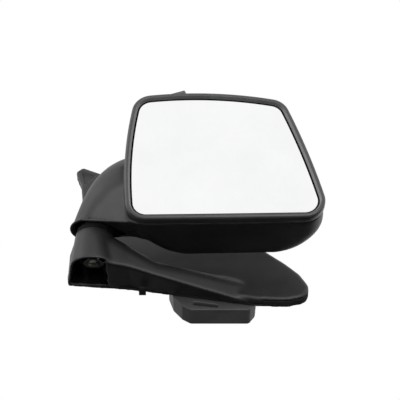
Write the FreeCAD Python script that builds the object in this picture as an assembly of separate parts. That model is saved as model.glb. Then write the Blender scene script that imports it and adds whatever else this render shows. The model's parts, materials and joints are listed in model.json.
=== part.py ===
import FreeCAD, Part
import math
import os

# Folding door mirror with a sail-shaped base, in its place on the car.
# +Z is up, +X points to the front of the car, -Y points away from the door.
# Millimetres. The shapes are drawn about the fold axis, whose foot is (0, 0, 0)
# while drawing; export() then moves them so that the origin lies on the door face.

os.makedirs("parts", exist_ok=True)
V = FreeCAD.Vector

# ---- driving dimensions -------------------------------------------------------------
WALL = 2.6                      # moulded wall of the covers and housings

# door face: the plane that the base is bolted to, which leans inboard at its top
DOOR_LEAN = 20.0                # degrees from vertical
DOOR_GAP = 41.0                 # fold axis to door face, level with the boss foot
ORIGIN_UP_SLOPE = 40.0          # the part's origin on the door face, above the boss foot

# sail: corners of its outline on the door face, (along X, up the slope)
SAIL_OUTLINE = [
    (-29, 1), (34, -5), (160, -28), (190, -29), (208, -24), (212, -10), (203, 8), (190, 23),
    (168, 44), (-6, 168), (-25, 178), (-32, 170), (-25, 150), (-22, 125),
]
TIP_FROM = 175.0                # beyond this X the outline's corners get a larger rounding
TIP_ROUNDING = 13.0
SAIL_THICK = 12.0
SAIL_EDGE = 3.5                 # rounding of the outboard edge
GASKET_THICK = 3.0
GASKET_WIDTH = 7.5
TIP_SEAL_FROM = 166.0           # the tip seal takes over from the gasket here
TIP_SEAL_THICK = 8.0

# boss round the fold axis, and the arm that joins it to the sail
BOSS_TOP = 37.5
BOSS_R_FOOT = 23.0
BOSS_R_TOP = 18.4
ARM_PLAN = [(-23, -2), (-4, -18.5), (4, -18.5), (150, 26), (150, 60), (-29, 60), (-29, 38)]
ARM_ROUNDING = 14.0             # of its upper outboard edge
ARM_SIDE = [(-29, 0), (35, -3), (60, -8), (150, -24), (150, 4), (60, 12), (17, 33), (-18.5, 33)]
FOOT_OPENING = 12.0             # the boss and arm are open below up to this X

# fold pivot, from the bottom up
BOLT_R = 6.0
BOLT_CLEARANCE = 0.05
NUT_FLATS = 19.0
NUT_BOTTOM, NUT_TOP = 5.5, 11.5
CUP_TOP = 14.0                  # spring cup
SPRING_CUP_R = 11.2
SPRING_MEAN_R = 9.0
SPRING_WIRE_R = 1.3
SPRING_COILS = 4
SECTIONS_PER_COIL = 16
CUP_R_OUT, CUP_R_IN = 14.8, 11.8
CUP_WALL_LOW = 9.0              # its skirt reaches down to here
CUP_WALL_BOTTOM, CUP_WALL_TOP = 29.0, 34.0
RING_TOP = 37.0                 # detent ring, fixed on the cup
DISC_BOTTOM, DISC_TOP = 38.2, 41.4
DISC_R = 14.5
SEAL_R_IN, SEAL_R_OUT = 15.0, 17.4
SEAL_TOP = 41.1
WASHER_BOTTOM, WASHER_TOP = 37.1, 38.1
WASHER_R = 8.2
BOLT_HEAD_R = 10.0
BOLT_BOTTOM, SEAT, BOLT_TOP = 4.0, 52.0, 56.0     # the head sits on the bracket at SEAT
BALL_R = 2.2
BALL_CIRCLE_R = 11.0
BALL_COUNT = 3
BALL_Z = 37.9

# head: corners of its outline seen from the front, (X, Z), and the middle of each side
HEAD_CORNERS = [(34.5, 23.2), (228, 26.2), (187, 158.5), (39, 163.5)]
HEAD_MIDDLES = [(131, 24.5), (210.5, 93), (110, 168), (30.6, 92)]
HEAD_ROUNDING = 20.0            # of its corners
BEZEL_FRONT = -57.0
HOUSING_FRONT = -47.0
BEZEL_FACE = 5.2                # width of the bezel's front face
BEZEL_EDGE = 3.0                # rounding of its outer edge
BEZEL_LIP = 5.0                 # how far its lip reaches into the housing
BEZEL_LIP_INSET = 3.8
BEZEL_LIP_ROUNDING = 17.5
FIN = [(71, 166.2), (88, 171.6), (90.5, 166.2)]
# bowl sections: Y, inset left, right, top, bottom, corner radius
BOWL_SECTIONS = [
    (-47, 0.0, 0.0, 0.0, 0.0, HEAD_ROUNDING),
    (-30, 2.5, 0.0, 2.5, 0.0, 20),
    (-14, 8.0, 0.5, 11.0, 0.0, 21),
    (3, 18.0, 3.5, 29.0, 0.0, 25),
    (16, 32.0, 11.0, 54.0, 1.5, 25),
    (24, 50.0, 30.0, 80.0, 7.0, 15),
]
OUTLINE_POINTS = 64             # points that a smooth outline curve passes through
# neck sections: outer end (X, Z), inner end (X, Z), half width, middle Y
NECK_SECTIONS = [
    (-23.5, 41.6, 23.5, 41.6, 23.5, 0),
    (-18.0, 58.0, 28.0, 39.0, 24.5, -2),
    (-5.0, 87.0, 36.0, 35.0, 27.0, -7),
    (20.0, 111.0, 43.0, 31.0, 29.0, -11),
    (52.0, 119.0, 52.0, 27.5, 30.0, -13),
    (66.0, 120.0, 66.0, 30.0, 29.0, -15),
]

# glass and its gimbal
GLASS_INSET = 7.1               # from the head's outline
OPENING_ROUNDING = 15.5         # corners of the bezel's opening
GLASS_ROUNDING = 14.5
GLASS_FRONT, GLASS_BACK = -53.0, -51.0
PAD_BACK = -50.2
HOLDER_BACK = -48.2
GIMBAL = V(120, -42, 95)
RING_HALF = 17.0                # gimbal ring: half its side
RING_WALL = 6.0
RING_HALF_THICK = 3.2
GIMBAL_WASHER_R = 4.0
EAR_GAP = 1.0                   # room for a friction washer between ring and ear
EAR_THICK = 4.0
PIN_R = 2.0
PIN_CLEARANCE = 0.05
BRACKET_X, BRACKET_Y, BRACKET_Z = (78, 162), (-18, -15), (60, 130)
BRACKET_ARM = [(0, -11), (90, -18), (90, -9), (60, -8), (0, 11)]    # in plan
BRACKET_ARM_Z = (45, 62)
EAR_R = 6.0                     # rounding of the ears that hold the gimbal pins
BRACKET_SCREWS = [(86, 68), (154, 68), (86, 122), (150, 122)]

# door fixings, (along X, up the slope)
STUDS = [(6, 126), (44, 22), (142, 14)]
STUD_R = 3.0
STUD_SHOULDER_R = 4.0
STUD_HEAD_R = 6.0
STUD_REACH = 20.0
COVER_SCREWS = [(0, 82), (90, 60), (146, -4)]
CLIP_SPAN = (43, 50)              # along X
BLOCK_REACH = 21.0
BLOCK_SCREWS = [(100, -1), (128, -3)]
BLOCK_SCREW_R = 2.0
BLOCK_OUTLINE = [(71, 6), (77, -14), (86, -26), (94, -31.5), (152, -31.5), (158, -22), (161, 6)]
BLOCK_FACE = 3.0                # wall that lies on the base, with the hollow behind it
BLOCK_SLOT = [(97, -20), (121, -24.5), (121, -28), (97, -25)]
SLOT_DEPTH = 7.5
SLOT_FLOOR = 1.5

# plate of the base frame, against the door inside the gasket, with two ribs: X, low, high
PLATE_OUTLINE = [(-19.5, 10.5), (60, 0), (152, -15), (156, 37), (0, 148), (-12, 140)]
PLATE_THICK = 4.0
LIP_OVER_GASKET = 0.7           # thickness of the plate's thin lip, which covers the gasket's inner edge
LIP_OUTLINE_INSET = 3.6         # from the sail's outline
RIB = 4.0
PLATE_RIBS = [(24, 30, 104), (100, 3, 50)]


# ---- helpers ------------------------------------------------------------------------
DOOR_PLACE = FreeCAD.Placement(V(0, DOOR_GAP, 0), FreeCAD.Rotation(V(1, 0, 0), -DOOR_LEAN))
DOOR_MATRIX = DOOR_PLACE.toMatrix()
PART_ORIGIN = DOOR_PLACE.multVec(V(0, 0, ORIGIN_UP_SLOPE))


def on_door(shape):
    """Take a shape drawn with the door face as its XZ plane to the leaning door face."""
    return moved(shape, DOOR_MATRIX)


def moved(shape, matrix):
    """A copy of a shape, moved by a rigid matrix."""
    copy = shape.copy()
    copy.transformShape(matrix)
    return copy


def export(name, *solids):
    """Write one node; several solids become one group."""
    shape = solids[0] if len(solids) == 1 else Part.makeCompound(list(solids))
    shape = shape.copy()
    shape.translate(-PART_ORIGIN)
    shape.exportStep("parts/" + name + ".step")


def rod(x, z, r, y0, y1):
    """A cylinder along Y."""
    return Part.makeCylinder(r, y1 - y0, V(x, y0, z), V(0, 1, 0))


def post(r, z0, z1, x=0, y=0):
    """A cylinder along Z."""
    return Part.makeCylinder(r, z1 - z0, V(x, y, z0))


def box(x0, x1, y0, y1, z0, z1):
    return Part.makeBox(x1 - x0, y1 - y0, z1 - z0, V(x0, y0, z0))


def fuse(shapes):
    return shapes[0].multiFuse(shapes[1:]).removeSplitter()


def face_xz(points, y):
    return Part.Face(Part.makePolygon([V(x, y, z) for x, z in points + points[:1]]))


def grown(face, distance):
    """A flat face grown (or shrunk) all round."""
    return face.makeOffset2D(distance) if distance else face


def edges_along(solid, direction):
    """Straight edges of a solid that run along a direction."""
    found = []
    for edge in solid.Edges:
        span = edge.Vertexes[-1].Point - edge.Vertexes[0].Point
        if span.Length > 0.1 and abs(abs(span.normalize().dot(direction)) - 1) < 1e-6:
            found.append(edge)
    return found


def edges_at_y(solid, y):
    """Edges of a solid that lie in one plane of constant Y."""
    return [e for e in solid.Edges if all(abs(v.Y - y) < 1e-6 for v in e.Vertexes)]


# ---- sail and base ------------------------------------------------------------------
def sail_slab(inset, w0, w1, corner):
    """A slab with the sail's outline, between two distances outboard of the door."""
    face = grown(face_xz(SAIL_OUTLINE, -w0), -inset)
    slab = face.extrude(V(0, -(w1 - w0), 0))
    for radius, at_tip in ((corner, False), (TIP_ROUNDING - inset, True)):
        upright = edges_along(slab, V(0, 1, 0))
        slab = slab.makeFillet(radius, [e for e in upright if (e.BoundBox.XMin > TIP_FROM) == at_tip])
    return slab


def arm_plan_slab(inset, z0, z1):
    plan = Part.Face(Part.makePolygon([V(x, y, z0) for x, y in ARM_PLAN + ARM_PLAN[:1]]))
    return grown(plan, -inset).extrude(V(0, 0, z1 - z0))


def upper_outboard_edges(solid):
    """Edges where a face that looks up meets an upright face that looks outboard."""
    found = []
    for edge in solid.Edges:
        normals = [f.normalAt(0, 0) for f in solid.Faces if any(e.isSame(edge) for e in f.Edges)]
        if any(n.z > 0.3 for n in normals) and any(abs(n.z) < 0.01 and n.y < -0.1 for n in normals):
            found.append(edge)
    return found


def arm_solid(inset):
    """The arm between boss and sail: its plan and its side view, extruded and crossed."""
    side = grown(face_xz(ARM_SIDE, -60), -inset).extrude(V(0, 140, 0))
    arm = arm_plan_slab(inset, -60, 60).common(side)
    return arm.makeFillet(ARM_ROUNDING - inset, upper_outboard_edges(arm))


def boss_cone(inset, z0, z1):
    slope = (BOSS_R_TOP - BOSS_R_FOOT) / BOSS_TOP
    r0 = BOSS_R_FOOT + slope * z0 - inset
    r1 = BOSS_R_FOOT + slope * z1 - inset
    return Part.makeCone(r0, r1, z1 - z0, V(0, 0, z0))


def door_side(w):
    """Everything inboard of a plane w outboard of the door face."""
    return on_door(box(-100, 300, -w, 120, -150, 300))


def make_base_cover():
    sail = sail_slab(0, 0, SAIL_THICK, 4)
    sail = sail.makeFillet(SAIL_EDGE, edges_at_y(sail, -SAIL_THICK))
    outer = fuse([boss_cone(0, 0, BOSS_TOP), arm_solid(0), on_door(sail)])
    hollow = [boss_cone(WALL, -1, BOSS_TOP + 1), arm_solid(WALL)]
    hollow.append(on_door(sail_slab(WALL, -1, SAIL_THICK - WALL, 2)))
    hollow.append(arm_plan_slab(WALL, -8, 6).common(box(-40, FOOT_OPENING, -40, 34, -8, 6)))
    cover = outer
    for piece in hollow:
        cover = cover.cut(piece)
    tip = on_door(box(TIP_SEAL_FROM - 0.2, 230, -TIP_SEAL_THICK - 0.2, 5, -60, 60))
    cover = cover.cut(door_side(GASKET_THICK)).cut(tip)
    for x, v in COVER_SCREWS:
        pillar = rod(x, v, 4, -(SAIL_THICK - 1.5), -4.2)
        cover = cover.fuse(on_door(pillar)).cut(on_door(rod(x, v, 1.5, -9.2, -3)))
    return cover.removeSplitter()


def make_base_frame():
    plate = face_xz(PLATE_OUTLINE, -PLATE_THICK).extrude(V(0, PLATE_THICK, 0))
    plate = plate.makeFillet(5, edges_along(plate, V(0, 1, 0)))
    lip = sail_slab(LIP_OUTLINE_INSET, PLATE_THICK - LIP_OVER_GASKET, PLATE_THICK, 2)
    plate = plate.fuse(lip.cut(box(TIP_SEAL_FROM - 2, 230, -6, 5, -60, 60)))
    for x, v in STUDS:
        plate = plate.cut(rod(x, v, STUD_SHOULDER_R + PIN_CLEARANCE, -5, 1))
    for x, v in COVER_SCREWS:
        plate = plate.cut(rod(x, v, 3.6, -2, 1)).cut(rod(x, v, 1.8, -5, 1))
    for x, v in BLOCK_SCREWS:
        plate = plate.cut(rod(x, v, BLOCK_SCREW_R + PIN_CLEARANCE, -5, 1))
    ribs = [box(x, x + RIB, -8, -3, low, high) for x, low, high in PLATE_RIBS]
    webs = [box(x, x + RIB, 8, 70, CUP_WALL_LOW, 29) for x in (-12, 8)]
    floor = box(-12, 12, 10, 70, 25, 29)
    arm = fuse(webs + [floor]).cut(door_side(GASKET_THICK + 0.3))
    frame = fuse([post(CUP_R_OUT, CUP_WALL_LOW, CUP_WALL_TOP), arm, on_door(fuse([plate] + ribs))])
    frame = frame.cut(post(CUP_R_IN, 0, CUP_WALL_BOTTOM))
    return frame.cut(post(BOLT_R + BOLT_CLEARANCE, 0, 40)).removeSplitter()


def make_gasket():
    ring = sail_slab(0.4, 0, GASKET_THICK, 2).cut(sail_slab(0.4 + GASKET_WIDTH, -1, 4, 1))
    return on_door(ring.cut(box(TIP_SEAL_FROM, 230, -5, 5, -60, 60)))


def make_tip_seal():
    seal = sail_slab(0.4, 0, TIP_SEAL_THICK, 3)
    return on_door(seal.common(box(TIP_SEAL_FROM, 230, -20, 5, -60, 60)))


def make_block():
    """The locating block: a tapered lug on the door side, with two rounded lower corners."""
    lug = face_xz(BLOCK_OUTLINE, 0).extrude(V(0, BLOCK_REACH, 0))
    lug = lug.makeFillet(4, edges_along(lug, V(0, 1, 0)))
    lug = lug.makeFillet(2, edges_at_y(lug, BLOCK_REACH))
    hollow = box(92, 148, BLOCK_FACE, BLOCK_REACH + 1, -26, 3)
    round_slot = box(91, 125, 0, SLOT_DEPTH + SLOT_FLOOR, -27, -17.5)
    lug = lug.cut(hollow.cut(round_slot))
    lug = lug.cut(face_xz(BLOCK_SLOT, -1).extrude(V(0, 1 + SLOT_DEPTH, 0)))
    for x, v in BLOCK_SCREWS:
        lug = lug.cut(rod(x, v, BLOCK_SCREW_R + PIN_CLEARANCE, -1, BLOCK_FACE + 1))
    return on_door(lug)


def make_clip():
    """A small clip against the lower edge of the cover, which hooks over the door's flange."""
    clip = box(*CLIP_SPAN, -5.5, 0.5, -11, -6).cut(sail_slab(0, -1, SAIL_THICK, 4))
    return on_door(clip).cut(arm_solid(0))


def door_group(places, r_head, r_shank, head, shank):
    """Identical round-headed fasteners standing square to the door."""
    return [on_door(fuse([rod(x, v, r_head, *head), rod(x, v, r_shank, *shank)])) for x, v in places]


def make_studs():
    """Studs with a head, a shoulder as deep as the plate, and a shank through the door."""
    bodies = door_group(STUDS, STUD_HEAD_R, STUD_SHOULDER_R, (-6.5, -PLATE_THICK), (-PLATE_THICK, 0))
    shanks = [on_door(rod(x, v, STUD_R, 0, STUD_REACH)) for x, v in STUDS]
    return [body.fuse(shank) for body, shank in zip(bodies, shanks)]


# ---- fold pivot ---------------------------------------------------------------------
def ball_centres():
    turns = [math.radians(90 + 360 / BALL_COUNT * i) for i in range(BALL_COUNT)]
    return [V(BALL_CIRCLE_R * math.cos(a), BALL_CIRCLE_R * math.sin(a), BALL_Z) for a in turns]


def make_detent_ring():
    ring = post(DISC_R, CUP_WALL_TOP, RING_TOP).cut(post(BOLT_R + 1, 30, 40))
    ring = ring.cut(Part.makeTorus(BALL_CIRCLE_R, BALL_R + 0.3, V(0, 0, BALL_Z)))
    for centre in ball_centres():
        ring = ring.cut(Part.makeSphere(BALL_R + 0.45, centre))
    return ring


def make_detent_disc():
    disc = post(DISC_R, DISC_BOTTOM, DISC_TOP).cut(post(BOLT_R + BOLT_CLEARANCE, 30, 50))
    for centre in ball_centres():
        disc = disc.cut(Part.makeSphere(BALL_R + 0.05, centre))
    return disc


def make_bolt():
    return fuse([post(BOLT_R, BOLT_BOTTOM, SEAT), post(BOLT_HEAD_R, SEAT, BOLT_TOP)])


def make_nut():
    corner_r = NUT_FLATS / math.sqrt(3)
    corners = [V(corner_r * math.cos(math.radians(60 * i)), corner_r * math.sin(math.radians(60 * i)),
                 NUT_BOTTOM) for i in range(7)]
    nut = Part.Face(Part.makePolygon(corners)).extrude(V(0, 0, NUT_TOP - NUT_BOTTOM))
    return nut.cut(post(BOLT_R + BOLT_CLEARANCE, 0, 20))


def make_spring_cup():
    cup = post(SPRING_CUP_R, NUT_TOP, CUP_TOP + 1.5).cut(post(SPRING_CUP_R - 0.6, CUP_TOP - 1, 20))
    return cup.cut(post(BOLT_R + BOLT_CLEARANCE, 0, 20))


def make_spring():
    low = CUP_TOP - 1 + SPRING_WIRE_R + 0.1
    high = CUP_WALL_BOTTOM - SPRING_WIRE_R - 0.3
    sections = []
    for i in range(SPRING_COILS * SECTIONS_PER_COIL + 1):
        turn = 2 * math.pi * i / SECTIONS_PER_COIL
        rise = (high - low) * i / (SPRING_COILS * SECTIONS_PER_COIL)
        centre = V(SPRING_MEAN_R * math.cos(turn), SPRING_MEAN_R * math.sin(turn), low + rise)
        along = V(-math.sin(turn), math.cos(turn), 0)
        sections.append(Part.Wire(Part.makeCircle(SPRING_WIRE_R, centre, along)))
    return Part.makeLoft(sections, True, False)


# ---- head ---------------------------------------------------------------------------
def head_wire(y, left=0, right=0, top=0, bottom=0, corner=15):
    """The head's outline at one Y: four bowed sides drawn in, with rounded corners."""
    shifts = [(left, bottom), (-right, bottom), (-right, -top), (left, -top)]
    corners = [V(x + dx, y, z + dz) for (x, z), (dx, dz) in zip(HEAD_CORNERS, shifts)]
    mid_x, mid_z = (left - right) / 2, (bottom - top) / 2
    mid_shifts = [(mid_x, bottom), (-right, mid_z), (mid_x, -top), (left, mid_z)]
    middles = [V(x + dx, y, z + dz) for (x, z), (dx, dz) in zip(HEAD_MIDDLES, mid_shifts)]
    sides = [Part.Arc(corners[i], middles[i], corners[(i + 1) % 4]).toShape() for i in range(4)]
    slab = Part.Face(Part.Wire(sides)).extrude(V(0, 1, 0))
    slab = slab.makeFillet(corner, edges_along(slab, V(0, 1, 0)))
    ends = [f for f in slab.Faces if all(abs(v.Y - y) < 1e-6 for v in f.Vertexes)]
    return ends[0].OuterWire


def head_slab(y0, y1, inset, corner):
    """A slab with the head's outline, drawn in evenly."""
    wire = head_wire(y0, inset, inset, inset, inset, corner)
    return Part.Face(wire).extrude(V(0, y1 - y0, 0))


def smooth_wire(wire):
    """The same closed outline as one smooth curve, starting at its leftmost point."""
    points = wire.discretize(Number=OUTLINE_POINTS + 1)[:-1]
    start = min(range(len(points)), key=lambda i: points[i].x)
    curve = Part.BSplineCurve()
    curve.interpolate(Points=points[start:] + points[:start], PeriodicFlag=True)
    return Part.Wire(curve.toShape())


def bowl(inset, front):
    """The rounded back of the head, as a closed solid."""
    first_y, last_y = BOWL_SECTIONS[0][0], BOWL_SECTIONS[-1][0]
    wires = []
    for y, left, right, top, bottom, corner in BOWL_SECTIONS:
        y_in = front if y == first_y else y - inset * (y - first_y) / (last_y - first_y)
        wires.append(smooth_wire(head_wire(y_in, left + inset, right + inset, top + inset,
                                           bottom + inset, corner - inset)))
    return Part.makeLoft(wires, True, False)


def neck(inset, drop):
    """The neck that bends from the upright skirt round the pivot into the head."""
    wires = []
    for outer_x, outer_z, inner_x, inner_z, half_width, mid_y in NECK_SECTIONS:
        if not wires:
            outer_z, inner_z = outer_z - drop, inner_z - drop
        span_x, span_z = inner_x - outer_x, inner_z - outer_z
        stretch = FreeCAD.Matrix()
        stretch.scale(math.hypot(span_x, span_z) / 2 - inset, half_width - inset, 1)
        ring = Part.makeCircle(1).transformGeometry(stretch)
        ring.rotate(V(0, 0, 0), V(0, 1, 0), math.degrees(math.atan2(-span_z, span_x)))
        ring.translate(V((outer_x + inner_x) / 2, mid_y, (outer_z + inner_z) / 2))
        wires.append(Part.Wire(ring))
    return Part.makeLoft(wires, True, False)


def make_rear_housing():
    outer = bowl(0, HOUSING_FRONT).fuse(neck(0, 0))
    inner_bowl = bowl(WALL, HOUSING_FRONT - 2)
    shell = outer.cut(inner_bowl).cut(neck(WALL, 0.6))
    solid_bowl = bowl(0.5, HOUSING_FRONT)
    for x, z in BRACKET_SCREWS:
        pillar = rod(x, z, 4.5, BRACKET_Y[1], 40).common(solid_bowl)
        shell = shell.fuse(pillar).cut(rod(x, z, 1.6, BRACKET_Y[1] - 1, BRACKET_Y[1] + 9))
    return shell.removeSplitter()


def make_bezel():
    ring = head_slab(BEZEL_FRONT, HOUSING_FRONT, 0, HEAD_ROUNDING)
    ring = ring.makeFillet(BEZEL_EDGE, edges_at_y(ring, BEZEL_FRONT))
    lip_end = HOUSING_FRONT + BEZEL_LIP
    lip = head_slab(HOUSING_FRONT, lip_end, BEZEL_LIP_INSET, BEZEL_LIP_ROUNDING)
    opening = head_slab(BEZEL_FRONT - 1, lip_end + 1, BEZEL_FACE, OPENING_ROUNDING)
    return fuse([ring, lip]).cut(opening)


def make_fin():
    fin = face_xz(FIN, -55).extrude(V(0, 4, 0))
    return fin.cut(head_slab(BEZEL_FRONT - 1, HOUSING_FRONT + 4, 0, HEAD_ROUNDING))


def make_bracket():
    x, z = GIMBAL.x, GIMBAL.z
    plate = box(*BRACKET_X, *BRACKET_Y, *BRACKET_Z)
    plate = plate.makeFillet(8, edges_along(plate, V(0, 1, 0)))
    shapes = [plate]
    ear_low = RING_HALF + EAR_GAP
    for side in (1, -1):
        z0 = z + side * ear_low
        z1 = z0 + side * EAR_THICK
        z_low, z_high = min(z0, z1), max(z0, z1)
        shapes.append(box(x - EAR_R, x + EAR_R, GIMBAL.y, BRACKET_Y[0], z_low, z_high))
        shapes.append(post(EAR_R, z_low, z_high, x, GIMBAL.y).common(
            box(x - EAR_R, x + EAR_R, GIMBAL.y - RING_HALF_THICK, GIMBAL.y + EAR_R, z_low, z_high)))
    low, high = BRACKET_ARM_Z
    corners = [V(ax, ay, low) for ax, ay in BRACKET_ARM + BRACKET_ARM[:1]]
    arm = Part.Face(Part.makePolygon(corners)).extrude(V(0, 0, high - low))
    shapes.append(arm.cut(box(-20, 12, -20, 20, SEAT, high + 1)))
    shapes.append(post(DISC_R, DISC_TOP, SEAT))
    bracket = fuse(shapes).cut(post(BOLT_R + BOLT_CLEARANCE, 30, 60))
    bracket = bracket.cut(post(PIN_R + PIN_CLEARANCE, z - 30, z + 30, x, GIMBAL.y))
    for sx, sz in BRACKET_SCREWS:
        bracket = bracket.cut(rod(sx, sz, 2.2, -30, 0))
    return bracket


# ---- glass and gimbal ---------------------------------------------------------------
def make_gimbal_ring():
    x, y, z = GIMBAL
    inner = RING_HALF - RING_WALL
    ring = box(x - RING_HALF, x + RING_HALF, y - RING_HALF_THICK, y + RING_HALF_THICK,
               z - RING_HALF, z + RING_HALF)
    ring = ring.makeFillet(4, edges_along(ring, V(0, 1, 0)))
    ring = ring.cut(box(x - inner, x + inner, y - 10, y + 10, z - inner, z + inner))
    ring = ring.cut(post(PIN_R + PIN_CLEARANCE, z - 30, z + 30, x, y))
    return ring.cut(Part.makeCylinder(PIN_R, 80, V(x - 40, y, z), V(1, 0, 0)))


def gimbal_rods(r, near, far, along):
    """One cylinder each side of the gimbal's middle, along Z or along X."""
    return [Part.makeCylinder(r, far - near, GIMBAL + along * (side * near), along * side)
            for side in (1, -1)]


def gimbal_washers(along):
    near = RING_HALF + 0.2
    discs = gimbal_rods(GIMBAL_WASHER_R, near, near + EAR_GAP - 0.4, along)
    holes = gimbal_rods(PIN_R + 0.1, near - 1, near + 3, along)
    return [disc.cut(hole) for disc, hole in zip(discs, holes)]


def make_holder():
    x, y, z = GIMBAL
    plate = head_slab(PAD_BACK, HOLDER_BACK, GLASS_INSET + 1.2, GLASS_ROUNDING - 1)
    shapes = [plate]
    for side in (1, -1):
        x0 = x + side * (RING_HALF + EAR_GAP)
        x1 = x0 + side * EAR_THICK
        x_low, x_high = min(x0, x1), max(x0, x1)
        shapes.append(box(x_low, x_high, HOLDER_BACK - 0.5, y, z - EAR_R, z + EAR_R))
        shapes.append(Part.makeCylinder(EAR_R, EAR_THICK, V(x_low, y, z), V(1, 0, 0)))
    holder = fuse(shapes)
    return holder.cut(Part.makeCylinder(PIN_R + PIN_CLEARANCE, 80, V(x - 40, y, z), V(1, 0, 0)))


# ---- build --------------------------------------------------------------------------
def main():
    up, front = V(0, 0, 1), V(1, 0, 0)

    export("base_cover", make_base_cover())
    export("base_frame", make_base_frame())
    export("door_gasket", make_gasket())
    export("tip_seal", make_tip_seal())
    export("locating_block", make_block())
    export("mounting_studs", *make_studs())
    export("cover_screws", *door_group(COVER_SCREWS, 3.4, 1.45, (-2, -0.2), (-8.6, -2)))
    export("block_screws", *door_group(BLOCK_SCREWS, 3.6, BLOCK_SCREW_R, (3, 5.5), (-3.9, 3)))
    export("cover_clip", make_clip())
    export("detent_ring", make_detent_ring())
    export("dust_seal", post(SEAL_R_OUT, BOSS_TOP + 0.1, SEAL_TOP).cut(post(SEAL_R_IN, 30, 50)))

    export("pivot_bolt", make_bolt())
    export("lock_nut", make_nut())
    export("spring_cup", make_spring_cup())
    export("fold_spring", make_spring())
    export("detent_disc", make_detent_disc())
    export("detent_balls", *[Part.makeSphere(BALL_R, c) for c in ball_centres()])
    export("thrust_washer", post(WASHER_R, WASHER_BOTTOM, WASHER_TOP).cut(post(BOLT_R + 0.2, 30, 50)))
    export("support_bracket", make_bracket())
    export("bracket_screws", *[fuse([rod(x, z, 3.8, BRACKET_Y[0] - 2.2, BRACKET_Y[0]),
                                     rod(x, z, 1.55, BRACKET_Y[0], BRACKET_Y[1] + 8)])
                               for x, z in BRACKET_SCREWS])
    export("rear_housing", make_rear_housing())
    export("front_bezel", make_bezel())
    export("top_fin", make_fin())
    export("pan_pins", *gimbal_rods(PIN_R, RING_HALF - RING_WALL + 0.5, RING_HALF + EAR_GAP + EAR_THICK, up))

    export("gimbal_ring", make_gimbal_ring())
    export("tilt_pins", *gimbal_rods(PIN_R, RING_HALF - RING_WALL, RING_HALF + EAR_GAP + EAR_THICK, front))
    export("pan_washers", *gimbal_washers(up))

    export("mirror_glass", head_slab(GLASS_FRONT, GLASS_BACK, GLASS_INSET, GLASS_ROUNDING))
    export("adhesive_pad", head_slab(GLASS_BACK, PAD_BACK, GLASS_INSET + 3, GLASS_ROUNDING - 3))
    export("glass_holder", make_holder())
    export("tilt_washers", *gimbal_washers(front))


main()
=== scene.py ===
import json
import math

import bmesh
import bpy
import numpy as np
from mathutils import Matrix, Vector


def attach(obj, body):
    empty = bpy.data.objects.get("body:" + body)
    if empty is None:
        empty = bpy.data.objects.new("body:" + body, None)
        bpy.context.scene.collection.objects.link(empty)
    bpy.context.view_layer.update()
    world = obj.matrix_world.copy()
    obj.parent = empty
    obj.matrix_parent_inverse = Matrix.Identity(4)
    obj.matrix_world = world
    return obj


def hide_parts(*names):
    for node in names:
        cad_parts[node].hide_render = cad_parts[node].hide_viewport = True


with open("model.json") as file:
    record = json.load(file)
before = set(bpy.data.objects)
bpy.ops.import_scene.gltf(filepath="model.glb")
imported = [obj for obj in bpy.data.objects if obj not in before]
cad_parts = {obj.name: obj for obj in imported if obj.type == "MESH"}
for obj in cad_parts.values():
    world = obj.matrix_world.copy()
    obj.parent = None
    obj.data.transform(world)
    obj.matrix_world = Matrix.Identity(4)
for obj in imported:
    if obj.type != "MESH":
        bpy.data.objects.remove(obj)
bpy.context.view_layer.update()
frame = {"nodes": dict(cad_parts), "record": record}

nodes = frame["nodes"]
MM = 0.001

# ---- driving dimensions, in mm about the foot of the fold axis, +Y towards the door ----
DOOR_LEAN = math.radians(20)
DOOR_GAP = 41.0
ORIGIN_UP_SLOPE = 40.0                  # up the door face, from the level of the boss's foot
ORIGIN = Vector((0, DOOR_GAP + ORIGIN_UP_SLOPE * math.sin(DOOR_LEAN),
                 ORIGIN_UP_SLOPE * math.cos(DOOR_LEAN)))
HEAD_CORNERS = [(34.5, 23.2), (228, 26.2), (187, 158.5), (39, 163.5)]
HEAD_MIDDLES = [(131, 24.5), (210.5, 93), (110, 168), (30.6, 92)]
HEAD_ROUNDING = 20.0
BEZEL_FRONT, BEZEL_BACK = -57.0, -47.0
BEZEL_FACE = 5.2                        # width of the rim round the glass
BEZEL_BEAD_R = 3.0                      # its rounded outer edge
HOUSING_WALL = 2.6
GLASS_INSET = 7.1
GLASS_FRONT, GLASS_BACK = -53.0, -51.0
VALLEY = [(29, 92), (30.5, 78), (33, 62), (35.5, 48), (40, 39), (47, 30)]    # (X, Z), beside the rim
VALLEY_HALF_WIDTH, VALLEY_DEPTH = 4.5, 1.8
VALLEY_INNER_Y = -20                    # the hollow stays outboard of this
SKIRT_R, SKIRT_FOOT = 23.5, 41.6        # lower end of the neck, round the fold axis
SKIRT_BORE_R, SKIRT_BORE_FOOT, SKIRT_BORE_TOP = 21.0, 10.0, 56.0
WEB_TOP, WEB_FRONT = 58.0, -46.5        # the web from the neck to the rim's lower corner
WEB_AT_RIM = [(33, 26), (46, 23.5), (34, 70), (48, 80)]      # (X, Z) of its front end
WEB_UNDER_BOWL = [(36, -20, 31), (50, -10, 40), (50, -10, 80)]
LIP_R, LIP_RISE = 1.5, 1.3              # the rolled lip and its middle's height over the skirt's foot
LIP_END = (34.0, -45.0, 27.0)
BOWL_FRONT, BOWL_BACK = -60, -12        # the hollow that the glass swings in
BOSS_R_TOP, BOSS_TOP = 18.4, 37.5
BOSS_BEAD_HALF_WIDTH, BOSS_BEAD_HEIGHT = 2.2, 0.5
TIP_RECESS = [(-26, 170), (-21, 146), (-9, 163)]      # (X, up the slope), anticlockwise
TIP_RECESS_DEPTH, TIP_RECESS_SLOPE = 2.2, 1.6
TIP_RECESS_OUTBOARD = 10                # it only moves what is further out from the door than this
TIP_SEAL_FROM = 166.0
SEAL_END_REACH, SEAL_END_PRESS = 1.8, 1.5
STUDS = [(6, 126), (44, 22), (142, 14)]      # (X, up the slope)
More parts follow.
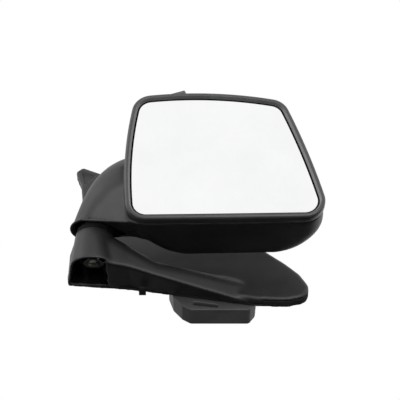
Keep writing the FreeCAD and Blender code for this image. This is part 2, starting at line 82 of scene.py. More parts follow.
STUD_R, STUD_REACH, STUD_PITCH = 3.0, 20.0, 1.0
NUT_FLATS, NUT_BOTTOM, NUT_TOP = 19.0, 5.5, 11.5
NUT_CHAMFER, NUT_CHAMFER_SHARE = 0.9, 0.93
BOLT_R, BOLT_BOTTOM, BOLT_THREAD_TOP = 6.0, 4.0, 13.2
BOLT_PITCH = 1.5
VIEW_TARGET, VIEW_RISE, VIEW_DISTANCE = (103.5, 0, 76.8), math.radians(30), 1.3
LENS, SENSOR = 117, 36


def place(x, y, z):
    """A point about the fold axis, in mm, as a point of the row frame, in metres."""
    return (Vector((x, y, z)) - ORIGIN) * MM


def on_door(x, v, w):
    """A point on the sail: along X, up the slope, and w outboard of the door face."""
    s, c = math.sin(DOOR_LEAN), math.cos(DOOR_LEAN)
    return place(x, DOOR_GAP + v * s - w * c, v * c + w * s)


def about_axis(radius, degrees):
    """Points (x, y) of a circle about the fold axis, at some angles."""
    return [(radius * math.cos(a), radius * math.sin(a)) for a in np.radians(degrees)]


def spoke(radius, turn, height):
    """A point at a radius, an angle and a height about Z."""
    return Vector((radius * math.cos(turn), radius * math.sin(turn), height))


# ---- materials ------------------------------------------------------------------------
def new_material(name):
    """A new material with its node tree and its shader."""
    material = bpy.data.materials.new(name)
    material.use_nodes = True
    return material, material.node_tree, material.node_tree.nodes["Principled BSDF"]


def add_node(tree, kind, **values):
    """A node with some of its inputs or settings given by name."""
    node = tree.nodes.new(kind)
    for key, value in values.items():
        if key in node.inputs:
            node.inputs[key].default_value = value
        else:
            setattr(node, key, value)
    return node


def noise(tree, scale, detail, roughness=0.55):
    """A noise texture laid on the object itself."""
    node = add_node(tree, "ShaderNodeTexNoise", Scale=scale, Detail=detail, Roughness=roughness)
    coords = tree.nodes.new("ShaderNodeTexCoord")
    tree.links.new(coords.outputs["Object"], node.inputs["Vector"])
    return node


def ramp(tree, source, stops):
    """Colours blended between (position, colour) stops by a value."""
    node = tree.nodes.new("ShaderNodeValToRGB")
    while len(node.color_ramp.elements) < len(stops):
        node.color_ramp.elements.new(0.5)
    for element, (position, color) in zip(node.color_ramp.elements, stops):
        element.position = position
        element.color = (*color, 1)
    tree.links.new(source, node.inputs["Fac"])
    return node


def grey(value, tint=0.0):
    """A grey, with its blue raised by a share."""
    return (value, value, value * (1 + tint))


def plastic(name, dark, light, rough, grain, grain_depth, specular, wear=None):
    """Moulded plastic: cloudy colour, worn edges, uneven gloss and a fine grain."""
    material, tree, shader = new_material(name)
    cloud = noise(tree, 28, 5)
    color = ramp(tree, cloud.outputs["Fac"], [(0.35, dark), (0.68, light)])
    result = color.outputs["Color"]
    if wear:
        edges = tree.nodes.new("ShaderNodeNewGeometry")
        worn = ramp(tree, edges.outputs["Pointiness"], [(0.53, (0, 0, 0)), (0.62, (1, 1, 1))])
        patches = noise(tree, 90, 6, 0.7)
        both = add_node(tree, "ShaderNodeMath", operation="MULTIPLY")
        tree.links.new(worn.outputs["Color"], both.inputs[0])
        tree.links.new(patches.outputs["Fac"], both.inputs[1])
        mix = add_node(tree, "ShaderNodeMix", data_type="RGBA")
        mix.inputs[7].default_value = (*wear, 1)
        tree.links.new(both.outputs[0], mix.inputs[0])
        tree.links.new(result, mix.inputs[6])
        result = mix.outputs[2]
    tree.links.new(result, shader.inputs["Base Color"])
    gloss = noise(tree, 65, 4)
    spread = add_node(tree, "ShaderNodeMapRange")
    spread.inputs["To Min"].default_value = rough - 0.05
    spread.inputs["To Max"].default_value = rough + 0.07
    tree.links.new(gloss.outputs["Fac"], spread.inputs["Value"])
    tree.links.new(spread.outputs["Result"], shader.inputs["Roughness"])
    pebbles = add_node(tree, "ShaderNodeTexVoronoi", Scale=grain)
    coords = tree.nodes.new("ShaderNodeTexCoord")
    tree.links.new(coords.outputs["Object"], pebbles.inputs["Vector"])
    fine = noise(tree, grain * 1.7, 2)
    total = add_node(tree, "ShaderNodeMath", operation="ADD")
    tree.links.new(pebbles.outputs["Distance"], total.inputs[0])
    tree.links.new(fine.outputs["Fac"], total.inputs[1])
    bump = add_node(tree, "ShaderNodeBump", Strength=0.55, Distance=grain_depth)
    tree.links.new(total.outputs[0], bump.inputs["Height"])
    tree.links.new(bump.outputs["Normal"], shader.inputs["Normal"])
    shader.inputs["Specular IOR Level"].default_value = specular
    return material


def metal(name, dark, light, stain, rough, grain, stretch=(1, 1, 1), depth=0.00003):
    """Metal with uneven colour, random stains and a cast or brushed grain."""
    material, tree, shader = new_material(name)
    coords = tree.nodes.new("ShaderNodeTexCoord")
    mapping = add_node(tree, "ShaderNodeMapping")
    mapping.inputs["Scale"].default_value = stretch
    tree.links.new(coords.outputs["Object"], mapping.inputs["Vector"])
    streaks = add_node(tree, "ShaderNodeTexNoise", Scale=grain, Detail=5.0)
    tree.links.new(mapping.outputs["Vector"], streaks.inputs["Vector"])
    cloud = noise(tree, 60, 5)
    color = ramp(tree, cloud.outputs["Fac"], [(0.3, stain), (0.48, dark), (0.7, light)])
    tree.links.new(color.outputs["Color"], shader.inputs["Base Color"])
    spread = add_node(tree, "ShaderNodeMapRange")
    spread.inputs["To Min"].default_value = rough - 0.08
    spread.inputs["To Max"].default_value = rough + 0.14
    tree.links.new(streaks.outputs["Fac"], spread.inputs["Value"])
    tree.links.new(spread.outputs["Result"], shader.inputs["Roughness"])
    bump = add_node(tree, "ShaderNodeBump", Strength=0.5, Distance=depth)
    tree.links.new(streaks.outputs["Fac"], bump.inputs["Height"])
    tree.links.new(bump.outputs["Normal"], shader.inputs["Normal"])
    shader.inputs["Metallic"].default_value = 1.0
    return material


def mirror():
    """Silvered glass: near white, with a faint cloud of dust that dulls it unevenly."""
    material, tree, shader = new_material("silvered_glass")
    dust = noise(tree, 22, 6, 0.62)
    silver = [(0.3, (0.90, 0.905, 0.91)), (0.75, (0.95, 0.952, 0.955))]
    color = ramp(tree, dust.outputs["Fac"], silver)
    tree.links.new(color.outputs["Color"], shader.inputs["Base Color"])
    haze = ramp(tree, dust.outputs["Fac"], [(0.4, grey(0.02)), (0.85, grey(0.09))])
    tree.links.new(haze.outputs["Color"], shader.inputs["Roughness"])
    shader.inputs["Metallic"].default_value = 1.0
    ripple = noise(tree, 9, 1)
    bump = add_node(tree, "ShaderNodeBump", Strength=0.04, Distance=0.0002)
    tree.links.new(ripple.outputs["Fac"], bump.inputs["Height"])
    tree.links.new(bump.outputs["Normal"], shader.inputs["Normal"])
    return material


COVER = plastic("grained_cover", grey(0.018, 0.03), grey(0.027, 0.03), rough=0.44, grain=2200,
                grain_depth=0.00006, specular=0.45, wear=grey(0.08))
BEZEL = plastic("satin_bezel", grey(0.034), grey(0.050), rough=0.34, grain=3600,
                grain_depth=0.00002, specular=0.6, wear=grey(0.14))
# lighter than the bezel plastic: a painted highlight for the rim's inner bevel, where light would catch it
BEVEL = plastic("bevel_painted_highlight", grey(0.085), grey(0.125), rough=0.24, grain=3600,
                grain_depth=0.00001, specular=0.7, wear=grey(0.2))
LUG = plastic("lug_plastic", grey(0.062), grey(0.085), rough=0.5, grain=2000,
              grain_depth=0.00008, specular=0.4, wear=grey(0.13))
INNER = plastic("glass_filled_nylon", grey(0.03), grey(0.05), rough=0.6, grain=1500,
                grain_depth=0.00008, specular=0.4)
RUBBER = plastic("seal_rubber", grey(0.010), grey(0.020), rough=0.8, grain=1200,
                 grain_depth=0.00018, specular=0.25)
FOAM = plastic("foam_tape", grey(0.12), grey(0.2), rough=0.85, grain=900,
               grain_depth=0.0003, specular=0.2)
CAST = metal("cast_alloy", grey(0.07), grey(0.12), stain=grey(0.04), rough=0.55, grain=900,
             depth=0.00012)
ZINC = metal("zinc_plate", (0.38, 0.38, 0.36), (0.56, 0.55, 0.51), stain=(0.25, 0.23, 0.19),
             rough=0.32, grain=420, stretch=(1, 1, 5))
SPRING = metal("oiled_spring_steel", grey(0.2), grey(0.34), stain=(0.13, 0.1, 0.08),
               rough=0.34, grain=600, stretch=(1, 1, 4))
MIRROR = mirror()

SLOT_MATERIAL = {
    "moulded_cover": COVER, "bezel_plastic": BEZEL, "inner_plastic": INNER, "cast_alloy": CAST,
    "plated_steel": ZINC, "spring_steel": SPRING, "seal_rubber": RUBBER, "mirror_face": MIRROR,
    "adhesive": FOAM,
}
NODE_SLOT = {part["node"]: part["material_slot"] for part in frame["record"]["subparts"]}
NODE_BODY = {node: body for body, members in frame["record"]["behaviour"]["bodies"].items()
             for node in members}


def dress_cad_nodes():
    """Every CAD node gets its slot's finish."""
    for name, obj in nodes.items():
        obj.data.materials.clear()
        obj.data.materials.append(SLOT_MATERIAL[NODE_SLOT[name]])


# ---- meshes ---------------------------------------------------------------------------
def mesh_object(name, vertices, faces, smooth=True):
    """A new object in the scene from vertices, in metres, and faces."""
    mesh = bpy.data.meshes.new(name)
    mesh.from_pydata([tuple(v) for v in vertices], [], faces)
    mesh.validate()
    mesh.update()
    obj = bpy.data.objects.new(name, mesh)
    bpy.context.scene.collection.objects.link(obj)
    if smooth:
        mesh.polygons.foreach_set("use_smooth", [True] * len(mesh.polygons))
    return obj


def stands_for(obj, node):
    """The piece rides on its CAD node's body, in the same finish, and replaces the node."""
    slot = NODE_SLOT[node]
    obj.data.materials.clear()
    obj.data.materials.append(SLOT_MATERIAL[slot])
    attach(obj, NODE_BODY[node])
    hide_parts(node)
    return obj


def in_scene(name, built):
    """A new object from a bmesh, which is freed."""
    mesh = bpy.data.meshes.new(name)
    built.to_mesh(mesh)
    built.free()
    obj = bpy.data.objects.new(name, mesh)
    bpy.context.scene.collection.objects.link(obj)
    return obj


def side_faces(rows, steps, closed=False):
    """Quads between the rings of a stack, and from the last to the first if it is closed."""
    faces = []
    for row in range(rows if closed else rows - 1):
        above = (row + 1) % rows
        for i in range(steps):
            j = (i + 1) % steps
            faces.append((row * steps + i, row * steps + j, above * steps + j, above * steps + i))
    return faces


def end_faces(rows, steps):
    """The two faces that close a stack of rings."""
    return [tuple(range(steps))[::-1], tuple(range((rows - 1) * steps, rows * steps))]


def apply_modifiers(obj):
    """Bakes the object's modifiers into its mesh."""
    bpy.context.view_layer.update()
    graph = bpy.context.evaluated_depsgraph_get()
    mesh = bpy.data.meshes.new_from_object(obj.evaluated_get(graph))
    obj.modifiers.clear()
    obj.data = mesh
    return obj


def to_axis(points):
    """Row-frame points, in metres, as mm about the foot of the fold axis, in an array."""
    return points / MM + np.array(ORIGIN)


def reshape(obj, move):
    """Moves the vertices: move takes points and normals, in mm about the fold axis."""
    mesh = obj.data
    count = len(mesh.vertices)
    points, normals = np.zeros(count * 3), np.zeros(count * 3)
    mesh.vertices.foreach_get("co", points)
    mesh.vertex_normals.foreach_get("vector", normals)
    points, normals = points.reshape(-1, 3), normals.reshape(-1, 3)
    points = points + move(to_axis(points), normals) * MM
    mesh.vertices.foreach_set("co", points.ravel())
    mesh.update()


def hump(value, middle, half_width):
    """1 in the middle, falling smoothly to 0 at half_width on either side."""
    t = np.clip(np.abs(value - middle) / half_width, 0, 1)
    return (1 - t * t) ** 2


def hull_solid(name, points):
    """The convex solid round some points given in mm about the fold axis."""
    built = bmesh.new()
    for point in points:
        built.verts.new(place(*point))
    bmesh.ops.convex_hull(built, input=built.verts)
    spare = [v for v in built.verts if not v.link_faces]
    bmesh.ops.delete(built, geom=spare, context="VERTS")
    return in_scene(name, built)


def cut_away(obj, tool):
    """Subtracts a solid from obj, and removes it."""
    cutter = obj.modifiers.new("cut", "BOOLEAN")
    cutter.operation = "DIFFERENCE"
    cutter.object = tool
    apply_modifiers(obj)
    bpy.data.objects.remove(tool)
    return obj


def joined(objects, name):
    """Several objects' meshes as one object."""
    built = bmesh.new()
    for obj in objects:
        built.from_mesh(obj.data)
        bpy.data.objects.remove(obj)
    return in_scene(name, built)


# ---- rear housing and neck --------------------------------------------------------------
def neck_fairing():
    """The web that carries the neck's lower edge over to the lower corner of the rim."""
    points = [(x, y, z) for x, y in about_axis(SKIRT_R, range(-100, 1, 10)) for z in (SKIRT_FOOT, WEB_TOP)]
    points += [(x, WEB_FRONT, z) for x, z in WEB_AT_RIM] + WEB_UNDER_BOWL
    web = hull_solid("neck_fairing", points)
    bore = [(x, y, z) for x, y in about_axis(SKIRT_BORE_R, range(0, 360, 8))
            for z in (SKIRT_BORE_FOOT, SKIRT_BORE_TOP)]
    cut_away(web, hull_solid("bore", bore))
    bowl = [(x, y, z) for x, z in head_outline(HOUSING_WALL) for y in (BOWL_FRONT, BOWL_BACK)]
    return cut_away(web, hull_solid("bowl", bowl))


def tube(name, path, radius, steps=12):
    """A round bar with closed ends along a path of points in mm about the fold axis."""
    points = [Vector(p) for p in path]
    vertices = []
    for i, point in enumerate(points):
        along = (points[min(i + 1, len(points) - 1)] - points[max(i - 1, 0)]).normalized()
        side = along.cross(Vector((0, 0, 1))).normalized()
        up = side.cross(along)
        for k in range(steps):
            turn = 2 * math.pi * k / steps
            outward = side * math.cos(turn) + up * math.sin(turn)
            vertices.append(place(*(point + outward * radius)))
    faces = side_faces(len(points), steps) + end_faces(len(points), steps)
    return mesh_object(name, vertices, faces)


def rim_valley(points, normals):
    """The hollow that runs down beside the rim, where the neck blends into the housing."""
    deep = np.zeros(len(points))
    for (x0, z0), (x1, z1) in zip(VALLEY, VALLEY[1:]):
        run = np.array([x1 - x0, z1 - z0])
        offset = points[:, [0, 2]] - np.array([x0, z0])
        along = np.clip(offset @ run / (run @ run), 0, 1)
        away = np.hypot(*(offset - along[:, None] * run).T)
        deep = np.maximum(deep, hump(away, 0, VALLEY_HALF_WIDTH))
    facing_out = np.clip(-normals[:, 1], 0, 1) * (points[:, 1] < VALLEY_INNER_Y)
    return normals * (-VALLEY_DEPTH * deep * facing_out)[:, None]


def neck_lip():
    """The rolled lip round the neck's lower edge, out to the corner of the rim."""
    round_skirt = [(x, y, SKIRT_FOOT + LIP_RISE) for x, y in about_axis(SKIRT_R, range(100, 241, 5))]
    start, end = Vector(round_skirt[-1]), Vector(LIP_END)
    web_edge = [start.lerp(end, float(t)) for t in np.linspace(0.08, 1, 12)]
    return tube("lip", round_skirt + web_edge, LIP_R)


def crease_weights(obj, sharp, rings, fade=0.93):
    """Marks a mesh's hollows as a vertex group that fades out over some vertex rings."""
    mesh = obj.data
    built = bmesh.new()
    built.from_mesh(mesh)
    built.normal_update()
    weight = np.zeros(len(mesh.vertices))
    for edge in built.edges:
        if len(edge.link_faces) == 2 and edge.calc_face_angle_signed(0.0) < -sharp:
            for vert in edge.verts:
                weight[vert.index] = 1
    pairs = np.array([[v.index for v in e.verts] for e in built.edges])
    built.free()
    for _ in range(rings):
        grown = weight.copy()
        np.maximum.at(grown, pairs[:, 0], weight[pairs[:, 1]] * fade)
        np.maximum.at(grown, pairs[:, 1], weight[pairs[:, 0]] * fade)
        weight = grown
    group = obj.vertex_groups.new(name="hollows")
    for level in np.unique(weight.round(3)):
        if level > 0:
            members = np.nonzero(np.abs(weight - level) < 0.0006)[0]
            group.add([int(i) for i in members], float(level), "REPLACE")


def ease_hollows(obj, sharp, rings, passes):
    """Rounds out the inside corners of a mesh and leaves the rest alone."""
    crease_weights(obj, sharp, rings)
    ease = obj.modifiers.new("ease", "SMOOTH")
    ease.factor = 0.5
    ease.iterations = passes
    ease.vertex_group = "hollows"
    apply_modifiers(obj)
    obj.vertex_groups.clear()
    return obj


def remeshed(obj, voxel, passes):
    """The object's solids as one even mesh, with its edges softened."""
    remesh = obj.modifiers.new("remesh", "REMESH")
    remesh.mode = "VOXEL"
    remesh.voxel_size = voxel * MM
    remesh.use_smooth_shade = True
    soften = obj.modifiers.new("soften", "SMOOTH")
    soften.factor = 0.5
    soften.iterations = passes
    return apply_modifiers(obj)


def node_copy(node, name):
    """A new object with a copy of a CAD node's mesh."""
    obj = bpy.data.objects.new(name, nodes[node].data.copy())
    bpy.context.scene.collection.objects.link(obj)
    return obj


def rear_housing():
    """The bowl and neck as one moulding, with the web, the hollow and the lip of the neck."""
    name = "rear_housing_moulding"
    body = joined([node_copy("rear_housing", "shell"), neck_fairing()], name)
    remeshed(body, voxel=1.0, passes=3)
    ease_hollows(body, sharp=0.10, rings=9, passes=60)
    reshape(body, rim_valley)
    body = remeshed(joined([body, neck_lip()], name), voxel=0.9, passes=2)
    stands_for(body, "rear_housing")


# ---- base cover -------------------------------------------------------------------------
def boss_edge(points, normals):
    """A bead round the boss's top."""
    radius = np.hypot(points[:, 0], points[:, 1])
    near = hump(radius, BOSS_R_TOP, BOSS_BEAD_HALF_WIDTH)
    near = near * hump(points[:, 2], BOSS_TOP - 0.6, BOSS_BEAD_HALF_WIDTH)
    return normals * (BOSS_BEAD_HEIGHT * near)[:, None]


def sunk_corner(points, normals):
    """A shallow three-sided recess in the sail's upper tip, which leaves a raised rim."""
    lean_y, rise = points[:, 1] - DOOR_GAP, points[:, 2]
    upward = lean_y * math.sin(DOOR_LEAN) + rise * math.cos(DOOR_LEAN)
    outboard = rise * math.sin(DOOR_LEAN) - lean_y * math.cos(DOOR_LEAN)
    inside = np.full(len(points), np.inf)
    for i, (x0, v0) in enumerate(TIP_RECESS):
        x1, v1 = TIP_RECESS[(i + 1) % 3]
        left = (x1 - x0) * (upward - v0) - (v1 - v0) * (points[:, 0] - x0)
        inside = np.minimum(inside, left / math.hypot(x1 - x0, v1 - v0))
    depth = TIP_RECESS_DEPTH * np.clip(inside / TIP_RECESS_SLOPE, 0, 1)
    depth = depth * (outboard > TIP_RECESS_OUTBOARD)
    inward = np.array([0, math.cos(DOOR_LEAN), -math.sin(DOOR_LEAN)])
    return depth[:, None] * inward


def base_cover():
    """The boss, arm and sail as one moulding, with flowing inside corners."""
    body = remeshed(node_copy("base_cover", "base_cover_moulding"), voxel=0.9, passes=2)
    ease_hollows(body, sharp=0.14, rings=7, passes=40)
    reshape(body, boss_edge)
    reshape(body, sunk_corner)
    stands_for(body, "base_cover")


def seal_end(points, normals):
    """Presses the ends of the gasket and the tip seal together where they meet."""
    near = np.abs(points[:, 0] - TIP_SEAL_FROM) < SEAL_END_REACH
    shift = np.zeros_like(points)
    shift[:, 0] = near * np.sign(TIP_SEAL_FROM - points[:, 0]) * SEAL_END_PRESS
    return shift


def foam(node, name, voxel, lumps):
    """A seal of soft foam: rounded edges and an uneven surface."""
    body = remeshed(node_copy(node, name), voxel, passes=4)
    texture = bpy.data.textures.new(name, "CLOUDS")
    texture.noise_scale = 0.006
    uneven = body.modifiers.new("uneven", "DISPLACE")
    uneven.texture = texture
    uneven.strength = lumps * MM
    uneven.mid_level = 0.6
    apply_modifiers(body)
    reshape(body, seal_end)
    stands_for(body, node)


def softened(node, name, voxel, passes):
    """A CAD node's shape with its edges rounded off, as its own piece."""
    return stands_for(remeshed(node_copy(node, name), voxel, passes), node)


# ---- bezel ------------------------------------------------------------------------------
def circle_through(a, b, c):
    """Centre and radius of the circle through three points of a plane."""
    (ax, ay), (bx, by), (cx, cy) = a, b, c
    d = 2 * (ax * (by - cy) + bx * (cy - ay) + cx * (ay - by))
    aa, bb, cc = ax * ax + ay * ay, bx * bx + by * by, cx * cx + cy * cy
    x = (aa * (by - cy) + bb * (cy - ay) + cc * (ay - by)) / d
    y = (aa * (cx - bx) + bb * (ax - cx) + cc * (bx - ax)) / d
    return (x, y), math.hypot(ax - x, ay - y)


def meeting_point(first, second, near):
    """Where two circles meet, at the crossing nearer to a point."""
    (x1, y1), r1 = first
    (x2, y2), r2 = second
    dx, dy = x2 - x1, y2 - y1
    d = math.hypot(dx, dy)
    along = (r1 * r1 - r2 * r2 + d * d) / (2 * d)
    across = math.sqrt(r1 * r1 - along * along)
    mx, my = x1 + along * dx / d, y1 + along * dy / d
    both = [(mx - side * across * dy / d, my + side * across * dx / d) for side in (1, -1)]
    return min(both, key=lambda p: math.hypot(p[0] - near[0], p[1] - near[1]))


def arc_points(centre, radius, start, end, count):
    """Points along an arc, the last left out, between the directions of two points."""
    a = math.atan2(start[1] - centre[1], start[0] - centre[0])
    b = math.atan2(end[1] - centre[1], end[0] - centre[0])
    b += 2 * math.pi if b < a else 0
    turns = [a + (b - a) * i / count for i in range(count)]
    return [(centre[0] + radius * math.cos(t), centre[1] + radius * math.sin(t)) for t in turns]


def head_outline(inset, per_side=44, per_corner=18):
    """The head's outline seen from the front, drawn in: four bowed sides, rounded corners."""
    sides = [circle_through(HEAD_CORNERS[i], HEAD_MIDDLES[i], HEAD_CORNERS[(i + 1) % 4])
             for i in range(4)]
    inner = [(centre, radius - HEAD_ROUNDING) for centre, radius in sides]
    turns = [meeting_point(inner[i - 1], inner[i], HEAD_CORNERS[i]) for i in range(4)]
    points = []
    for i in range(4):
        centre, radius = sides[i]
        start, end = turns[i], turns[(i + 1) % 4]
        points += arc_points(centre, radius - inset, start, end, per_side)
        next_centre = sides[(i + 1) % 4][0]
        away = [(2 * end[0] - c[0], 2 * end[1] - c[1]) for c in (centre, next_centre)]
        points += arc_points(end, HEAD_ROUNDING - inset, *away, per_corner)
    return points


def outward_normals(obj):
    """Turns every face of a closed mesh to face outward."""
    built = bmesh.new()
    built.from_mesh(obj.data)
    bmesh.ops.recalc_face_normals(built, faces=built.faces)
    built.to_mesh(obj.data)
    built.free()
    return obj


def outline_stack(rows):
    """Vertices of the head's outline at some (inset, y), and how many each row has."""
    vertices = []
    for inset, y in rows:
        vertices += [place(x, y, z) for x, z in head_outline(inset)]
    return vertices, len(vertices) // len(rows)


def bezel():
    """The rim: a rounded bead outside, a fine step, and a bevel down to the glass, which carries a lighter
    painted highlight.
    """
    front, back = BEZEL_FRONT, BEZEL_BACK
    lip = BEZEL_FACE + 0.35
    outside = [(0.7, back), (0.12, back - 0.5), (0.0, back - 1.2), (0.0, front + 3.6)]
    bead = [(BEZEL_BEAD_R * (1 - math.cos(t)), front + BEZEL_BEAD_R * (1 - math.sin(t)))
            for t in np.radians(range(12, 91, 13))]
    step = [(3.2, front + 0.35), (3.4, front + 0.4)]
    bevel = [(3.6, front + 0.25), (3.9, front + 0.5), (4.5, front + 1.5), (5.1, front + 2.7)]
    inside = [(lip, front + 3.5), (lip, front + 4.4), (BEZEL_FACE, front + 5.6),
              (BEZEL_FACE, back + 4.6), (BEZEL_FACE - 0.5, back + 5), (4.0, back + 5),
              (3.7, back + 4.6), (3.7, back + 0.1), (3.5, back)]
    profile = outside + bead + step + bevel + inside
    vertices, count = outline_stack(profile)
    ring = mesh_object("bezel_rim", vertices, side_faces(len(profile), count, closed=True))
    stands_for(outward_normals(ring), "front_bezel").data.materials.append(BEVEL)
    # the bevel's faces take the lighter material, a painted highlight round the glass
    first = len(outside + bead + step)
    for face in ring.data.polygons[first * count:(first + len(bevel)) * count]:
        face.material_index = 1


def glass():
    """The silvered glass, with a ground edge."""
    front, back = GLASS_FRONT, GLASS_BACK
    edge = GLASS_INSET - 0.45
    rows = [(edge + 0.3, back), (edge, back - 0.3), (edge, front + 0.5), (edge + 0.5, front)]
    vertices, count = outline_stack(rows)
    faces = end_faces(len(rows), count) + side_faces(len(rows), count)
    obj = mesh_object("silvered_glass_plate", vertices, faces, smooth=False)
    stands_for(outward_normals(obj), "mirror_glass")


# ---- threaded metal ---------------------------------------------------------------------
def turned(name, profile, steps=48):
    """A closed solid turned about Z from (radius, height) points, in mm."""
    vertices = []
    for radius, height in profile:
        vertices += [spoke(radius, 2 * math.pi * i / steps, height) * MM for i in range(steps)]
    faces = side_faces(len(profile), steps) + end_faces(len(profile), steps)
    return mesh_object(name, vertices, faces)


def threaded(name, radius, low, high, pitch, steps=40, rows_per_turn=6):
    """A screw thread about Z, with tapered ends, as one closed solid, in mm."""
    depth = 0.55 * pitch
    rows = int((high - low) / pitch * rows_per_turn)
    vertices = []
    for row in range(rows + 1):
        height = low + (high - low) * row / rows
        taper = 0.5 * pitch * (1 - min(1, (height - low) / pitch, (high - height) / pitch))
        for i in range(steps):
            turn = 2 * math.pi * i / steps
            wave = 0.5 - 0.5 * math.cos(2 * math.pi * (height - low) / pitch - turn)
            vertices.append(spoke(radius - depth * (1 - wave) - taper, turn, height) * MM)
    faces = side_faces(rows + 1, steps) + end_faces(rows + 1, steps)
    return mesh_object(name, vertices, faces)


def stand_at(obj, point, axis):
    """Takes a solid made about Z to a point of the row frame, along an axis."""
    turn = Vector((0, 0, 1)).rotation_difference(Vector(axis)).to_matrix().to_4x4()
    obj.data.transform(Matrix.Translation(point) @ turn)
    return obj


def studs():
    """Shouldered studs on the door side, each with its head, collar and thread."""
    inboard = on_door(0, 0, -1) - on_door(0, 0, 0)
    head_profile = [(5.2, -6.5), (6, -6.0), (6, -4), (4, -4), (4, -0.02), (2.9, -0.02), (2.9, 0.5)]
    parts = []
    for x, v in STUDS:
        foot = on_door(x, v, 0)
        parts.append(stand_at(turned("head", head_profile), foot, inboard))
        thread = threaded("thread", STUD_R, 0.3, STUD_REACH, STUD_PITCH)
        parts.append(stand_at(thread, foot, inboard))
    stands_for(joined(parts, "mounting_studs_threaded"), "mounting_studs")


def hexagon_radius(turn, flats):
    """How far a hexagon reaches at an angle, with a corner at 0."""
    sixth = math.pi / 3
    from_corner = abs((turn + sixth / 2) % sixth - sixth / 2)
    return flats / 2 / math.cos(sixth / 2 - from_corner)


def hex_nut(steps=72):
    """A chamfered hexagon nut on the lower end of the fold bolt."""
    turns = [2 * math.pi * i / steps for i in range(steps)]
    corner = NUT_FLATS / math.sqrt(3)
    vertices = []
    for z in (NUT_BOTTOM, NUT_BOTTOM + 0.6, NUT_TOP - 0.6, NUT_TOP):
        vertices += [place(*spoke(BOLT_R + 0.1, turn, z)) for turn in turns]
    for z, share in ((NUT_TOP, NUT_CHAMFER_SHARE), (NUT_TOP - NUT_CHAMFER, 1),
                     (NUT_BOTTOM + NUT_CHAMFER, 1), (NUT_BOTTOM, NUT_CHAMFER_SHARE)):
        for turn in turns:
            radius = min(hexagon_radius(turn, NUT_FLATS), corner * share)
            vertices.append(place(*spoke(radius, turn, z)))
    faces = side_faces(8, steps, closed=True)
    obj = mesh_object("lock_nut_hexagon", vertices, faces, smooth=False)
    stands_for(outward_normals(obj), "lock_nut")


def fold_bolt():
    """The fold bolt: a threaded lower end, a plain shank and a round head."""
    shank_profile = [(5.6, 13.0), (BOLT_R, 13.4), (BOLT_R, 52), (9.4, 52), (10, 52.5), (10, 55.2),
                     (9.2, 56)]
    shank = turned("shank", shank_profile)
    thread = threaded("thread", BOLT_R - 0.02, BOLT_BOTTOM, BOLT_THREAD_TOP, BOLT_PITCH)
    for obj in (shank, thread):
        obj.data.transform(Matrix.Translation(place(0, 0, 0)))
    stands_for(joined([shank, thread], "fold_bolt"), "pivot_bolt")


def crisp_edges(node, width):
    """A fine bevel on a CAD node's sharp edges."""
    bevel = nodes[node].modifiers.new("bevel", "BEVEL")
    bevel.width = width * MM
    bevel.segments = 2
    bevel.limit_method = "ANGLE"
    bevel.angle_limit = math.radians(50)


rear_housing()
base_cover()
bezel()
glass()
softened("locating_block", "locating_block_moulding", voxel=0.8, passes=3).data.materials[0] = LUG
softened("support_bracket", "support_bracket_casting", voxel=0.9, passes=3)
foam("door_gasket", "door_gasket_foam", voxel=0.8, lumps=0.7)
foam("tip_seal", "tip_seal_foam", voxel=0.9, lumps=0.8)
crisp_edges("base_frame", width=0.5)
crisp_edges("top_fin", width=0.3)
studs()
hex_nut()
fold_bolt()
dress_cad_nodes()


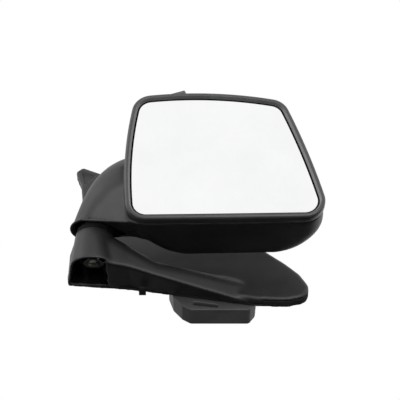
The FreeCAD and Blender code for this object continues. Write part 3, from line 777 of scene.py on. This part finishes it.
# ---- stage, light and camera ----------------------------------------------------------
def world_light():
    """A soft studio surround: white above and in front, dark below and behind."""
    world = bpy.data.worlds.new("studio")
    bpy.context.scene.world = world
    world.use_nodes = True
    tree = world.node_tree
    coords = tree.nodes.new("ShaderNodeTexCoord")
    split = tree.nodes.new("ShaderNodeSeparateXYZ")
    tree.links.new(coords.outputs["Generated"], split.inputs["Vector"])
    front = add_node(tree, "ShaderNodeMath", operation="MULTIPLY")
    front.inputs[1].default_value = -0.9
    tree.links.new(split.outputs["Y"], front.inputs[0])
    only = add_node(tree, "ShaderNodeMath", operation="MAXIMUM")
    only.inputs[1].default_value = 0.0
    tree.links.new(front.outputs[0], only.inputs[0])
    total = add_node(tree, "ShaderNodeMath", operation="ADD")
    tree.links.new(only.outputs[0], total.inputs[0])
    tree.links.new(split.outputs["Z"], total.inputs[1])
    reach = add_node(tree, "ShaderNodeMapRange")
    reach.inputs["From Min"].default_value = -0.25
    reach.inputs["From Max"].default_value = 0.05
    tree.links.new(total.outputs[0], reach.inputs["Value"])
    shade = ramp(tree, reach.outputs["Result"], [(0.0, grey(0.015)), (1.0, grey(1.0))])
    background = tree.nodes["Background"]
    tree.links.new(shade.outputs["Color"], background.inputs["Color"])
    background.inputs["Strength"].default_value = 1.0


def soft_box(name, at, aim, size, power):
    """A rectangular studio light at one point, turned towards another, in metres and watts."""
    light = bpy.data.lights.new(name, "AREA")
    light.shape = "RECTANGLE"
    light.size, light.size_y = size
    light.energy = power
    obj = bpy.data.objects.new(name, light)
    bpy.context.scene.collection.objects.link(obj)
    obj.location = at
    obj.rotation_euler = (Vector(aim) - Vector(at)).to_track_quat("-Z", "Y").to_euler()


def floor():
    """A wide pale floor, well below the part, which casts no light and no reflection on it."""
    size, height = 12.0, -1.05
    corners = [(-size, -size), (size, -size), (size, size), (-size, size)]
    obj = mesh_object("floor", [(x, y, height) for x, y in corners], [(0, 1, 2, 3)], smooth=False)
    material, tree, shader = new_material("pale_floor")
    cloud = noise(tree, 3, 4)
    color = ramp(tree, cloud.outputs["Fac"], [(0.3, grey(0.80)), (0.7, grey(0.84))])
    tree.links.new(color.outputs["Color"], shader.inputs["Base Color"])
    shader.inputs["Roughness"].default_value = 0.9
    obj.data.materials.append(material)
    obj.visible_diffuse = False
    obj.visible_glossy = False


def camera():
    """A long lens, 1.3 m away, looking up at the part by 30 degrees."""
    target = place(*VIEW_TARGET)
    outward = Vector((0, math.cos(VIEW_RISE), math.sin(VIEW_RISE)))
    data = bpy.data.cameras.new("camera")
    data.sensor_width = SENSOR
    data.lens = LENS
    data.clip_start = 0.01
    obj = bpy.data.objects.new("camera", data)
    bpy.context.scene.collection.objects.link(obj)
    obj.location = target - VIEW_DISTANCE * outward
    obj.rotation_euler = (target - obj.location).to_track_quat("-Z", "Y").to_euler()
    bpy.context.scene.camera = obj


world_light()
soft_box("left_light", (-1.3, -0.5, 0.75), (0, 0, 0), (0.9, 0.9), 3.2)
soft_box("front_light", (0.5, -1.6, -0.15), (0, 0, -0.05), (0.9, 0.5), 6.5)
floor()
camera()
bpy.context.scene.view_settings.view_transform = "Standard"
